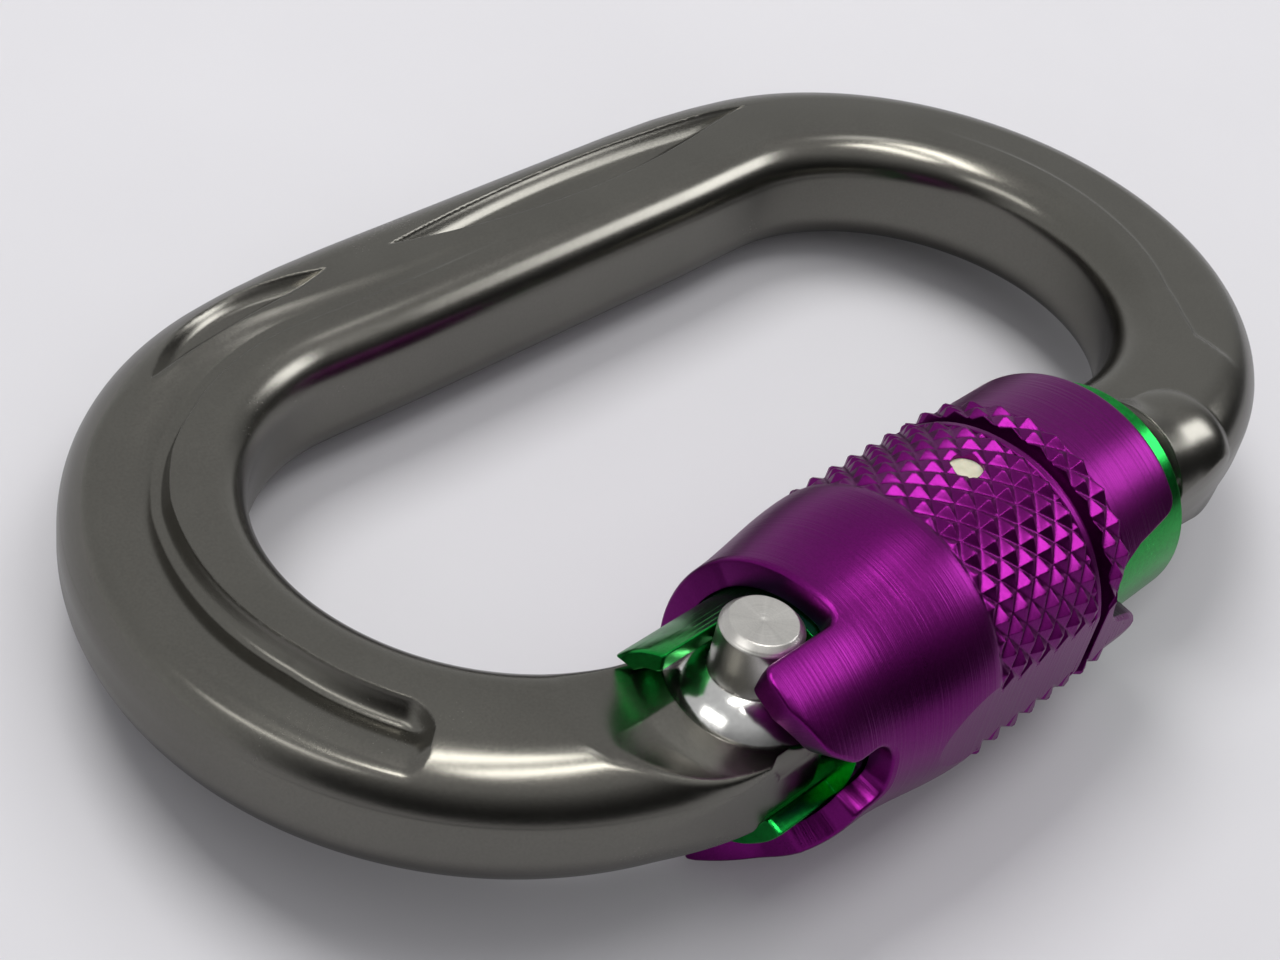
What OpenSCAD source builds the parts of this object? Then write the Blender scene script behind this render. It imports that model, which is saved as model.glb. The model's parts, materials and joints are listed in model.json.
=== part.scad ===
// Oval locking carabiner with a lift-and-twist sleeve.
// Millimetres. +X runs along the oval towards the nose, +Y towards the solid
// spine, +Z is square to the oval. The origin is the centre of the oval, on its
// mid-plane. Angles named phi run round the gate axis: 0 is +Z, 90 is outward (-Y).

/* [Frame] */
// Overall length of the oval frame
frame_l = 109; // [108:0.5:110]
// Centreline radius of each end bend
bend_r = 23.7; // [23.5:0.1:23.9]
// Width of the bar, measured across the oval
bar_w = 13; // [12.6:0.1:13.2]
// Thickness of the bar
bar_t = 10.8; // [10.4:0.1:11]
// Rounding of the bar's four corners
bar_r = 2.6; // [2:0.1:3]
// Depth of the recessed channels in the two faces
channel_d = 1.2; // [0.6:0.1:1.5]
// Width of the recessed channels
channel_w = 4.6; // [4:0.2:4.6]
// Half thickness left where the frame is dished round the hinge
dish_z = 4; // [3.8:0.1:4]

/* [Gate and hinge] */
// Distance of the gate axis from the oval's long axis
gate_y = -23.54; // [-23.7:0.02:-23.5]
// Diameter of the gate rod
gate_d = 10.8; // [10.6:0.1:10.8]
// Position of the hinge pin along the oval
pin_x = -23.8; // [-24:0.1:-23.8]
// Diameter of the hinge pin
pin_d = 5.2; // [4.8:0.1:5.2]
// Height of the hinge pin's free head above mid-plane
pin_top = 9.3; // [8.6:0.1:9.6]
// Thickness of the frame tang held in the gate fork
tang_t = 4.2; // [3.6:0.1:4.2]
// Diameter of the gate plunger
plunger_d = 3; // [2.6:0.1:3]

/* [Lock sleeve] */
// Outside diameter of the lock sleeve's nose ring
ring_d = 18.16; // [18:0.02:18.2]
// Nose end of the lock sleeve
ring_x = 17.9; // [17.5:0.1:17.9]
// Wall thickness of the lock sleeve's tube
tube_wall = 0.9; // [0.8:0.1:0.9]
// Travel of the outer sleeve when it is lifted
lift = 2.5; // [2:0.1:2.5]

/* [Outer sleeve] */
// Diameter over the grip bands
grip_d = 22.6; // [22.4:0.1:22.8]
// Diameter of the smooth nose ring
sleeve_d = 21.86; // [21.6:0.02:21.9]
// Diameter of the sleeve's hinge end
tail_d = 20.1; // [19.8:0.1:20.2]
// Reach of the locking finger towards the hinge
finger_x = -28.3; // [-28.4:0.1:-27.5]
// Distance of the milled flats from the gate axis
flat_r = 10.7; // [10.5:0.1:10.8]
// Width of the U-shaped window at the nose end
window_w = 8.2; // [7:0.2:8.4]
// Diameter of the key pin hole
key_d = 2.5; // [2.2:0.1:2.5]

/* [Springs] */
// Wire of the lift spring
lift_wire = 0.9; // [0.7:0.1:0.9]
// Coils of the lift spring
lift_coils = 4; // [3:1:4]
// Wire of the twist spring
twist_wire = 1; // [0.8:0.1:1]
// Coils of the twist spring
twist_coils = 9; // [6:1:10]
// Wire of the gate spring
gate_wire = 0.5; // [0.4:0.1:0.5]
// Coils of the gate spring
gate_coils = 6; // [5:1:7]

/* [Hidden] */
$fn = 96;

straight = frame_l / 2 - bend_r - bar_w / 2;  // half length of the straight sides
gate_r = gate_d / 2;
pin_r = pin_d / 2;
tang_z = tang_t / 2;
tang_r = 4.4;          // rounded end of the tang
tang_flat = 4.0;       // plunger flat on the tang, from the pin axis
ear_r = 4.8;           // rounded ends of the gate fork
gate_tip = 21.2;       // nose end of the gate rod
nose_sweep = 45.6;     // the full bar starts outside this radius from the pin
blade_sweep = 43.5;    // the nose blade starts outside this radius
tube_r = 7.9;          // outside of the lock sleeve's tube
spring_bore = tube_r - tube_wall;
bore_r = ring_d / 2 + 0.07;   // running bore of the outer sleeve
tail_r = tube_r + 0.15;       // narrow bore at the hinge end
shoulder_x = -14;      // shoulder between the two bores
end_x = -20.9;         // hinge end of the sleeve's main barrel
nose_x = 14.4;         // nose end of the outer sleeve
key_x = -1.5;
key_phi = -4;
tube_x0 = -16.5;
tube_x1 = 4.5;
ring_gap_x = 18.05;    // groove of the retaining ring
ring_gap_w = 0.7;

// Local Z becomes +X on the gate axis, and a local polar angle becomes phi.
module about_gate() translate([0, gate_y, 0]) rotate([0, 90, 0]) rotate([0, 0, 180]) children();

module rod(r, x0, x1) about_gate() translate([0, 0, x0]) cylinder(r = r, h = x1 - x0);

module ring(r0, r1, x0, x1) difference() {
    rod(r1, x0, x1);
    rod(r0, x0 - 1, x1 + 1);
}

// A pie-shaped prism round the gate axis, for cutting sectors (under 170 degrees).
module wedge(phi0, phi1, r, x0, x1) about_gate() translate([0, 0, x0]) linear_extrude(x1 - x0)
    polygon([[0, 0], r * [cos(phi0), sin(phi0)],
             1.6 * r * [cos((phi0 + phi1) / 2), sin((phi0 + phi1) / 2)],
             r * [cos(phi1), sin(phi1)]]);

// A flat pattern drawn as [x, arc offset], projected inward along phi.
module radial_cut(phi, r0, r1) translate([0, gate_y, 0]) rotate([phi, 0, 0])
    translate([0, 0, r0]) linear_extrude(r1 - r0) mirror([0, 1]) children();

// ---- frame ----

module bar_section() {
    square([bar_w, bar_t - 2 * bar_r], center = true);
    square([bar_w - 2 * bar_r, bar_t], center = true);
    for (sx = [-1, 1], sy = [-1, 1])
        translate([sx * (bar_w / 2 - bar_r), sy * (bar_t / 2 - bar_r)]) circle(bar_r);
}

module bend(x, from) translate([x, 0, 0]) rotate([0, 0, from])
    rotate_extrude(angle = 180) translate([bend_r, 0]) bar_section();

module bar(x0, x1, y) translate([x0, y, 0]) rotate([90, 0, 90]) linear_extrude(x1 - x0) bar_section();

module channel(x, a0, a1, depth) for (m = [0, 1]) mirror([0, 0, m])
    translate([x, 0, bar_t / 2 - depth]) rotate([0, 0, a0]) rotate_extrude(angle = a1 - a0)
        translate([bend_r + 1.5 - channel_w / 2, 0]) square([channel_w, 3]);

module lens(x, y, len, wid, depth) {
    r = (len * len / 4 + wid * wid / 4) / wid;
    for (m = [0, 1]) mirror([0, 0, m]) translate([x, y, bar_t / 2 - depth]) intersection() {
        translate([0, r - wid / 2, 0]) cylinder(r = r, h = 3, $fn = 180);
        translate([0, wid / 2 - r, 0]) cylinder(r = r, h = 3, $fn = 180);
    }
}

module dish() for (m = [0, 1]) mirror([0, 0, m]) translate([pin_x, gate_y, 0]) rotate_extrude() {
    translate([0, dish_z]) square([10.3, 6.6]);
    intersection() {
        translate([10.3, dish_z + 6.6]) circle(6.6);
        translate([9, dish_z]) square([9, 6.6]);
    }
}

module frame() color([0.36, 0.36, 0.34]) difference() {
    union() {
        difference() {
            union() {
                bend(-straight, 90);
                bend(straight, -90);
                bar(-straight, straight, bend_r);
                bar(-straight, pin_x + 1.3, -bend_r);
                bar(gate_tip - 3, straight, -bend_r);
                // raised boss behind the nose
                about_gate() rotate_extrude() polygon([[0, gate_tip - 3], [6.9, gate_tip - 3],
                                                       [6.9, 24], [4.4, 28], [0, 28]]);
            }
            // clearance swept by the gate at the nose
            intersection() {
                translate([pin_x, gate_y, -10]) cylinder(r = nose_sweep, h = 20, $fn = 240);
                translate([10, gate_y - 15, -10]) cube([20, 30, 20]);
            }
            // clearance round the hinge
            translate([pin_x, gate_y, -10]) linear_extrude(20)
                polygon([[1.3, -20], [1.3, 0], [0, 0], 20 * [cos(118), sin(118)], [20, 20], [20, -20]]);
            for (m = [0, 1]) mirror([0, 0, m]) translate([pin_x, gate_y, tang_z])
                cylinder(r = ear_r + 0.2, h = 9);
            // turned neck beside the hinge
            about_gate() rotate_extrude() polygon([[6.3, -18], [6.3, -27], [9, -29.5], [14, -29.5], [14, -18]]);
            dish();
            channel(-straight, 100, 216, channel_d);
            channel(straight, 4, 74, channel_d / 2);
            lens(8.5, bend_r + 1.9, 36, 3, channel_d);
            lens(-26, bend_r + 1.7, 15, 2, channel_d / 2);
        }
        // tang in the gate fork
        translate([pin_x, gate_y, -tang_z]) cylinder(r = tang_r, h = tang_t);
        // nose blade in the gate's end slot
        difference() {
            translate([gate_tip - 3, gate_y - 5.2, -1.6]) cube([5, 7.1, 3.2]);
            translate([pin_x, gate_y, -10]) cylinder(r = blade_sweep, h = 20, $fn = 240);
        }
    }
    translate([pin_x, gate_y, -10]) cylinder(r = pin_r, h = 20);
    translate([pin_x + tang_flat, gate_y - 5, -5]) cube([3, 10, 10]);
}

module hinge_pin() color([0.72, 0.71, 0.68]) translate([pin_x, gate_y, 0]) rotate_extrude()
    polygon([[0, -5.3], [pin_r - 0.3, -5.3], [pin_r, -5], [pin_r, pin_top - 0.5],
             [pin_r - 0.5, pin_top], [0, pin_top]]);

// ---- gate ----

module gate() color([0.82, 0.83, 0.84]) difference() {
    intersection() {
        about_gate() rotate_extrude() polygon([[0, -30], [gate_r, -30], [gate_r, gate_tip - 0.6],
                                               [gate_r - 0.6, gate_tip], [0, gate_tip]]);
        union() {
            translate([pin_x, gate_y - 8, -8]) cube([60, 16, 16]);
            translate([pin_x, gate_y, 0]) rotate_extrude() {
                translate([0, -4]) square([ear_r, 8]);
                translate([0, -5.6]) square([ear_r - 1.6, 11.2]);
                for (s = [-1, 1]) translate([ear_r - 1.6, s * 4]) circle(1.6);
            }
        }
    }
    // fork for the tang
    translate([pin_x - 8, gate_y - 8, -tang_z - 0.1]) cube([8 + tang_r + 0.2, 16, tang_t + 0.2]);
    translate([pin_x, gate_y, -10]) cylinder(r = pin_r + 0.05, h = 20);
    // plunger bore
    rod(plunger_d / 2 + 0.06, pin_x + 2, -8);
    // groove of the retaining ring
    ring(gate_r - 0.5, gate_r + 2, ring_gap_x, ring_gap_x + ring_gap_w);
    // end slot that takes the nose blade
    translate([gate_tip - 2.1, gate_y - 8, -1.75]) cube([4, 10.1, 3.5]);
    // holes of the guard pins
    for (p = [90, 270]) about_gate() rotate([0, 90, p]) translate([18.6, 0, 4]) cylinder(r = 0.6, h = 4);
}

module hinge_guard() color([0.1, 0.55, 0.2]) difference() {
    union() {
        ring(gate_r, tube_r, -20.8, -17);
        // tab that shields the top of the hinge
        intersection() {
            ring(6.5, tube_r, -31, -18);
            translate([-31, gate_y + 2.75, 4.3]) cube([13, 6, 6]);
        }
        // tab under the outer side of the hinge
        intersection() {
            ring(6.5, tube_r, -26, -18);
            wedge(112, 152, 9, -26, -18);
        }
    }
    for (p = [90, 270]) about_gate() rotate([0, 90, p]) translate([18.6, 0, 4]) cylinder(r = 0.6, h = 6);
}

module guard_pins() color([0.7, 0.7, 0.7]) for (p = [90, 270])
    about_gate() rotate([0, 90, p]) translate([18.6, 0, 4]) cylinder(r = 0.6, h = 3.7);

module thrust_washer() color([0.6, 0.55, 0.4]) ring(gate_r + 0.06, tube_r - 0.05, -16.95, -16.55);

module retaining_ring() color([0.3, 0.3, 0.32]) difference() {
    ring(gate_r - 0.5, 6.9, ring_gap_x, ring_gap_x + ring_gap_w);
    wedge(60, 120, 12, ring_gap_x - 1, ring_gap_x + ring_gap_w + 1);
}

module gate_plunger() color([0.75, 0.75, 0.73]) about_gate() rotate_extrude()
    polygon([[0, pin_x + tang_flat + 0.05], [plunger_d / 2 - 0.3, pin_x + tang_flat + 0.05],
             [plunger_d / 2, pin_x + tang_flat + 0.35], [plunger_d / 2, -15.6],
             [0.7, -15.6], [0.7, -11.5], [0, -11.5]]);

// ---- springs ----

// Round wire wound on radius r from x0 to x1 (wire centres), n coils.
module coil(r, wire, x0, x1, n, seg = 20, sides = 6) {
    steps = n * seg;
    pts = [for (i = [0:steps]) for (j = [0:sides - 1])
        let (a = 360 * i / seg, b = 360 * j / sides, rr = r + wire / 2 * cos(b))
        [rr * cos(a), rr * sin(a), x0 + (x1 - x0) * i / steps + wire / 2 * sin(b)]];
    sidesf = [for (i = [0:steps - 1]) for (j = [0:sides - 1]) for (k = [0, 1])
        let (a = i * sides + j, b = i * sides + (j + 1) % sides)
        k == 0 ? [a, a + sides, b + sides] : [a, b + sides, b]];
    cap0 = [[for (j = [0:sides - 1]) j]];
    cap1 = [[for (j = [0:sides - 1]) steps * sides + sides - 1 - j]];
    about_gate() polyhedron(points = pts, faces = concat(sidesf, cap0, cap1));
}

module twist_spring() color([0.55, 0.56, 0.58])
    coil(6.2, twist_wire, tube_x0 + 0.7, tube_x1 - 0.7, twist_coils);

module lift_spring() color([0.55, 0.56, 0.58])
    coil(8.52, lift_wire, shoulder_x + 0.55, -4.55, lift_coils);

module gate_spring() color([0.55, 0.56, 0.58])
    coil(1.15, gate_wire, -15.25, -8.35, gate_coils, 14);

// ---- lock sleeve ----

module lock_sleeve() color([0.1, 0.6, 0.22]) difference() {
    union() {
        ring(spring_bore, tube_r, tube_x0, tube_x1 + 0.5);
        about_gate() rotate_extrude() polygon([[gate_r + 0.06, tube_x1], [ring_d / 2, tube_x1],
            [ring_d / 2, ring_x - 0.4], [ring_d / 2 - 0.4, ring_x], [gate_r + 0.06, ring_x]]);
    }
    // axial slot that drives the key pin
    radial_cut(key_phi, 6, 8.5) {
        translate([key_x, 0]) circle(key_d / 2 + 0.05);
        translate([key_x + lift, 0]) circle(key_d / 2 + 0.05);
        translate([key_x, -key_d / 2 - 0.05]) square([lift, key_d + 0.1]);
    }
}

module lift_spring_seat() color([0.7, 0.7, 0.7]) ring(tube_r, bore_r - 0.07, -4, -3.2);

// ---- outer sleeve ----

module outer_sleeve() color([0.5, 0.08, 0.5]) difference() {
    union() {
        difference() {
            about_gate() rotate_extrude() polygon([
                [tail_r, end_x], [tail_d / 2 - 0.5, end_x], [tail_d / 2, end_x + 0.5], [tail_d / 2, -19.5],
                [10.37, -17.3], [10.86, -13.7], [11.2, -9.4],
                [grip_d / 2, -9.4], [grip_d / 2, 2.7], [11, 2.7], [11, 3.4],
                [10, 3.4], [10, 4.6], [grip_d / 2, 4.6], [grip_d / 2, 6.8],
                [sleeve_d / 2, 6.8], [sleeve_d / 2, nose_x - 0.5], [sleeve_d / 2 - 0.5, nose_x],
                [bore_r, nose_x], [bore_r, shoulder_x], [tail_r, shoulder_x]]);
            // shallow notch over the hinge pin
            radial_cut(-11, 5, 13) translate([end_x - 2, -4.6]) square([3, 9.2]);
        }
        // locking finger beside the hinge pin
        intersection() {
            ring(tail_r, tail_d / 2, finger_x, end_x + 2);
            radial_cut(43, 3, 13) union() {
                translate([finger_x + 3.2, -4.55]) square([12, 9.1]);
                translate([finger_x, -3.55]) square([4, 4.9]);
                translate([finger_x + 1, -4.55]) square([3, 6]);
                translate([finger_x + 1, -3.55]) circle(1);
                translate([finger_x + 3.2, 1.35]) circle(3.2);
            }
        }
        // lower finger
        intersection() {
            ring(tail_r, tail_d / 2, finger_x, end_x + 2);
            radial_cut(146, 3, 13) polygon([[end_x + 2, -5.2], [-22.3, -5.2], [-24, -2.5], [-24.7, 0],
                                            [-27.6, 3.4], [-28, 4.2], [end_x + 2, 4.2]]);
        }
    }
    // room for the head of the hinge pin
    translate([finger_x - 1, gate_y - pin_r - 0.2, 0]) cube([-finger_x + end_x + 1, 2 * pin_r + 0.4, 13]);
    // U-shaped notch below the finger
    radial_cut(85, 5, 13) {
        translate([end_x - 1.2, 0]) circle(2.6);
        translate([end_x - 4.2, -2.6]) square([3, 5.2]);
    }
    // two milled flats
    for (p = [91, 271]) translate([0, gate_y, 0]) rotate([p, 0, 0]) translate([-19, -8, flat_r]) cube([40, 16, 4]);
    // U-shaped window at the nose end
    radial_cut(79.5, 5, 13) {
        translate([6 + window_w / 2, 0]) circle(window_w / 2);
        translate([6 + window_w / 2, -window_w / 2]) square([10, window_w]);
    }
    // key pin hole
    radial_cut(key_phi, 5, 13) translate([key_x, 0]) circle(key_d / 2);
}

module key_pin() color([0.6, 0.6, 0.6]) radial_cut(key_phi, 7.1, 10.2) translate([key_x, 0]) circle(key_d / 2);

module key_plug() color([0.9, 0.9, 0.8]) radial_cut(key_phi, 10.2, 10.75) translate([key_x, 0]) circle(key_d / 2);

frame();
hinge_pin();
gate();
hinge_guard();
guard_pins();
thrust_washer();
retaining_ring();
twist_spring();
gate_plunger();
gate_spring();
lock_sleeve();
lift_spring_seat();
lift_spring();
outer_sleeve();
key_pin();
key_plug();
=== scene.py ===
import bpy
import bmesh
import json
import math
import numpy as np
from mathutils import Matrix, Vector


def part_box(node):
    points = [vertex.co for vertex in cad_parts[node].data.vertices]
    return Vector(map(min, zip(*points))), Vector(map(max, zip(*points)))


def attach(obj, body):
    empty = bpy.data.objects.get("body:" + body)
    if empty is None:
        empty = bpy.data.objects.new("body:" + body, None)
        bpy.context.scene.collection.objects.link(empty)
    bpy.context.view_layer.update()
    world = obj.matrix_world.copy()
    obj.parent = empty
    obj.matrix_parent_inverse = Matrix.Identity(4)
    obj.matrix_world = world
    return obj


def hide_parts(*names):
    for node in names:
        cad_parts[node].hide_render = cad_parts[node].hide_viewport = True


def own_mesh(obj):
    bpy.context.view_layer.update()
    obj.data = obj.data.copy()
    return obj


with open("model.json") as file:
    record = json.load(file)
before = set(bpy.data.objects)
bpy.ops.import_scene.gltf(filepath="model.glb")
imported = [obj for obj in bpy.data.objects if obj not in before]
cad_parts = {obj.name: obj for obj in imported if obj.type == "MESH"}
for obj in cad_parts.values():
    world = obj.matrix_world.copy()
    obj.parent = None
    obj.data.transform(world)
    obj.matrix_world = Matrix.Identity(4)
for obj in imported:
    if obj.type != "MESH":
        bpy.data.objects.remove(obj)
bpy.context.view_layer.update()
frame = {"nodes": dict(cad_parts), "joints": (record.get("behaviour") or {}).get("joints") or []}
NODES = frame["nodes"]

# ---------------------------------------------------------------- places, all read from the frame (in mm)
joints = {j["name"]: j for j in frame["joints"]}
PX, YG = [1000 * v for v in joints["gate_swing"]["pos_m"][:2]]       # hinge pin axis; gate axis is y = YG, z = 0


def mm(node):
    lo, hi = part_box(node)
    return np.array(lo) * 1000, np.array(hi) * 1000


F0, F1 = mm("frame")
S0, S1 = mm("outer_sleeve")
L0, L1 = mm("lock_sleeve")
P0, P1 = mm("hinge_pin")
K0, K1 = mm("key_plug")
EAR = 5.55                        # radius of the gate's polished ears
HEAD = 2.9                        # radius of the pin's head
RO = 23.694                       # centreline radius of the end bends
A = F1[0] - RO - 6.393            # half length of the straight sides
T = 5.394                         # half thickness
WE, WS, WG = 6.393, min(6.6, F1[1] - RO + 0.09), 6.03


# ---------------------------------------------------------------- mesh helpers
def make(name, verts, faces, smooth=True):
    me = bpy.data.meshes.new(name)
    me.from_pydata((np.asarray(verts, float) * 0.001).tolist(), [], faces)
    me.validate()
    me.update()
    ob = bpy.data.objects.new(name, me)
    bpy.context.scene.collection.objects.link(ob)
    bm = bmesh.new()
    bm.from_mesh(me)
    bmesh.ops.recalc_face_normals(bm, faces=bm.faces)
    if bm.calc_volume(signed=True) < 0:
        bmesh.ops.reverse_faces(bm, faces=bm.faces)
    bm.to_mesh(me)
    bm.free()
    if smooth:
        for p in me.polygons:
            p.use_smooth = True
    return ob


def ring_faces(nr, nc, close_r=False, close_c=True, cap0=False, cap1=False):
    """Faces over nr rings of nc points each."""
    f = []
    for i in range(nr if close_r else nr - 1):
        a, b = i * nc, ((i + 1) % nr) * nc
        for j in range(nc if close_c else nc - 1):
            k = (j + 1) % nc
            f.append((a + j, a + k, b + k, b + j))
    if cap0:
        f.append(tuple(range(nc)))
    if cap1:
        f.append(tuple(reversed(range((nr - 1) * nc, nr * nc))))
    return f


def boolean(ob, cutter, op="DIFFERENCE", keep=False):
    for solver in ("MANIFOLD", "EXACT"):
        m = ob.modifiers.new("b", "BOOLEAN")
        m.operation = op
        m.object = cutter
        m.solver = solver
        dg = bpy.context.evaluated_depsgraph_get()
        me = bpy.data.meshes.new_from_object(ob.evaluated_get(dg))
        ob.modifiers.clear()
        if len(me.vertices) > 8 and len(me.vertices) != len(ob.data.vertices):
            break
        print("boolean", ob.name, cutter.name, solver, "changed nothing")
    old = ob.data
    ob.data = me
    bpy.data.meshes.remove(old)
    if not keep:
        bpy.data.objects.remove(cutter)


def finish_mesh(ob, angle=28):
    """Drops stray bits and sets smooth shading with sharp edges above an angle."""
    me = ob.data
    bm = bmesh.new()
    bm.from_mesh(me)
    bmesh.ops.remove_doubles(bm, verts=bm.verts, dist=1e-7)
    bmesh.ops.dissolve_degenerate(bm, edges=bm.edges, dist=1e-7)
    loose = [v for v in bm.verts if not v.link_faces]
    bmesh.ops.delete(bm, geom=loose, context="VERTS")
    bm.to_mesh(me)
    bm.free()
    me.shade_smooth()
    me.set_sharp_from_angle(angle=math.radians(angle))


def box(name, lo, hi):
    v = [(x, y, z) for x in (lo[0], hi[0]) for y in (lo[1], hi[1]) for z in (lo[2], hi[2])]
    f = [(0, 1, 3, 2), (4, 6, 7, 5), (0, 4, 5, 1), (2, 3, 7, 6), (0, 2, 6, 4), (1, 5, 7, 3)]
    return make(name, v, f, smooth=False)


def revolve(name, prof, axis, centre, n=256):
    """A closed ring from a closed profile [(r, h)], round Z at (x, y) centre, or round the gate axis."""
    prof = np.array(prof, float)
    v = []
    for i in range(n):
        a = 2 * math.pi * i / n
        if axis == "Z":
            v += [(centre[0] + r * math.cos(a), centre[1] + r * math.sin(a), h) for r, h in prof]
        else:
            v += [(h, YG - r * math.sin(a), r * math.cos(a)) for r, h in prof]
    return make(name, v, ring_faces(n, len(prof), close_r=True, close_c=True), smooth=False)


def turned(name, prof, axis, centre=(0, 0), n=128):
    """A solid of revolution from an open profile [(r, h)] that starts and ends on the axis."""
    prof = [(r, h) for r, h in prof]
    v, idx = [], []
    for r, h in prof:
        row = []
        if r < 1e-9:
            row = [len(v)] * n
            v.append((centre[0], centre[1], h) if axis == "Z" else (h, YG, 0))
        else:
            for i in range(n):
                a = 2 * math.pi * i / n
                row.append(len(v))
                v.append((centre[0] + r * math.cos(a), centre[1] + r * math.sin(a), h) if axis == "Z"
                         else (h, YG - r * math.sin(a), r * math.cos(a)))
        idx.append(row)
    f = []
    for p, q in zip(idx, idx[1:]):
        for i in range(n):
            k = (i + 1) % n
            face = []
            for w in (p[i], p[k], q[k], q[i]):
                if w not in face:
                    face.append(w)
            if len(face) > 2:
                f.append(tuple(face))
    return make(name, v, f)


def arc(cx, cy, r, a0, a1, n):
    return [(cx + r * math.cos(math.radians(a0 + (a1 - a0) * i / n)),
             cy + r * math.sin(math.radians(a0 + (a1 - a0) * i / n))) for i in range(n + 1)]


def fillet(points, radii, n=8):
    """Rounds the corners of a closed polygon."""
    out = []
    m = len(points)
    for i in range(m):
        p, a, b = (np.array(points[k], float) for k in (i, (i - 1) % m, (i + 1) % m))
        r = radii[i]
        if r <= 0:
            out.append(p)
            continue
        u, w = a - p, b - p
        lu, lw = np.linalg.norm(u), np.linalg.norm(w)
        u, w = u / lu, w / lw
        ang = math.acos(max(-1, min(1, float(u @ w))))
        if ang > math.radians(178):
            out.append(p)
            continue
        d = min(r / math.tan(ang / 2), 0.49 * lu, 0.49 * lw)
        rr = d * math.tan(ang / 2)
        c = p + (u + w) / np.linalg.norm(u + w) * rr / math.sin(ang / 2)
        s, e = p + u * d - c, p + w * d - c
        t0 = math.atan2(s[1], s[0])
        dt = (math.atan2(e[1], e[0]) - t0 + math.pi) % (2 * math.pi) - math.pi
        for k in range(n + 1):
            t = t0 + dt * k / n
            out.append(c + rr * np.array([math.cos(t), math.sin(t)]))
    return np.array(out)


def sstep(t):
    t = np.clip(t, 0, 1)
    return t * t * (3 - 2 * t)


def onset(t):
    """Crisp at the lip, rounded at the floor."""
    t = np.clip(t, 0, 1)
    return 1 - (1 - t) ** 2.0


# ---------------------------------------------------------------- frame: a swept bar with forged recesses
POCKET_END = A + RO * math.pi / 2 + math.radians(217.7 - 180) * RO


def frame_path():
    """Stations along the centreline: position, outward normal, S (0 mid-spine, growing towards the hinge)."""
    q = RO * math.pi / 2
    x0, x1 = 18.75, PX + 1.4
    end = POCKET_END
    S = []
    s_nose = -(A + 2 * q + (A - x0))
    s_hinge = A + 2 * q + (x1 + A)
    s = s_nose
    fine = [(end - 5.5, end + 1.0, 0.11), (-A - q - 17.0, -A - q - 9.0, 0.13), (s_hinge - 16, s_hinge, 0.14), (-32.0, 39.0, 0.2), (39.0, end - 5.5, 0.22)]
    while s < s_hinge:
        S.append(s)
        s += min([st for a, b, st in fine if a <= s < b] + [0.42])
    S.append(s_hinge)
    S = np.array(S)
    P, N = np.zeros((len(S), 2)), np.zeros((len(S), 2))
    for i, s in enumerate(S):
        m = -1 if s < 0 else 1
        t = abs(s)
        if t <= A:
            P[i], N[i] = (-m * t, RO), (0, 1)
        elif t <= A + 2 * q:
            a = math.pi / 2 + (t - A) / RO
            P[i] = (m * (-A + RO * math.cos(a)), RO * math.sin(a))
            N[i] = (m * math.cos(a), math.sin(a))
        else:
            P[i], N[i] = (m * (-A + (t - A - 2 * q)), -RO), (0, -1)
    return S, P, N


def section(w, t, ri, ro, nflat=104, nc=34, nw=6):
    """Right-hand half goes over the top from the inner wall to the outer wall; then the underside mirrors it."""
    top = [(-w, z) for z in np.linspace(0, t - ri, nw, endpoint=False)]
    top += arc(-w + ri, t - ri, ri, 180, 90, nc)
    top += [(r, t) for r in np.linspace(-w + ri, w - ro, nflat)[1:-1]]
    top += arc(w - ro, t - ro, ro, 90, 0, 90)
    top += [(w, z) for z in np.linspace(t - ro, 0, nw)[1:]]
    top = np.array(top)
    under = top[1:-1][::-1] * (1, -1)
    return np.vstack([top, under])


def lens_sd(s, r, s0, s1, rc, sag_in, sag_out):
    """Signed distance (negative inside) of a pointed lens from s0 to s1 about the line r = rc."""
    c, h = (s0 + s1) / 2, (s1 - s0) / 2
    d = None
    for sag, side in ((sag_in, 1), (sag_out, -1)):
        R = (h * h + sag * sag) / (2 * sag)
        cy = rc + side * (R - sag)
        e = np.hypot(s - c, r - cy) - R
        d = e if d is None else np.maximum(d, e)
    return d


def lerp_table(x, xs, ys):
    return np.interp(x, xs, ys)


POCKET_LIP = ([14, 25, 39, 44, 50, 60, 67, 72, 77.4], [-2.7, -2.4, -1.75, -1.2, -0.85, -1.0, -1.15, -0.85, -0.55])
V_LIP = ([-86.3, -83, -79, -70, -55, -40], [-0.1, -1.2, -1.93, -1.9, -1.7, -1.7])
LENSES = ((-29.8, 12.6, 1.95, 2.85, 1.5), (18.6, 37.5, 2.1, 1.5, 1.5))


def lips(s):
    """Offsets of the recess edges at path distance s, so that a row of points can follow them."""
    out = []
    if 14 < s < POCKET_END - 2.4:
        out.append(float(np.interp(s, *POCKET_LIP)))
    if -86 < s < -44:
        out.append(float(np.interp(s, *V_LIP)))
    for s0, s1, rc, sag_in, sag_out in LENSES:
        if s0 < s < s1:
            c, h = (s0 + s1) / 2, (s1 - s0) / 2
            for sag, m in ((sag_in, -1), (sag_out, 1)):
                R = (h * h + sag * sag) / (2 * sag)
                out.append(rc + m * (math.sqrt(R * R - (s - c) ** 2) - R + sag))
    return out


def crown(r, w, ri, ro):
    """Height of the plain top surface at offset r."""
    z = np.full(len(r), T) - 0.011 * np.clip(r, -w + ri, w - ro) ** 2
    a, b = np.clip(-w + ri - r, 0, ri), np.clip(r - w + ro, 0, ro)
    z = z - (ri - np.sqrt(ri * ri - a * a)) - (ro - np.sqrt(ro * ro - b * b))
    return z


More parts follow.
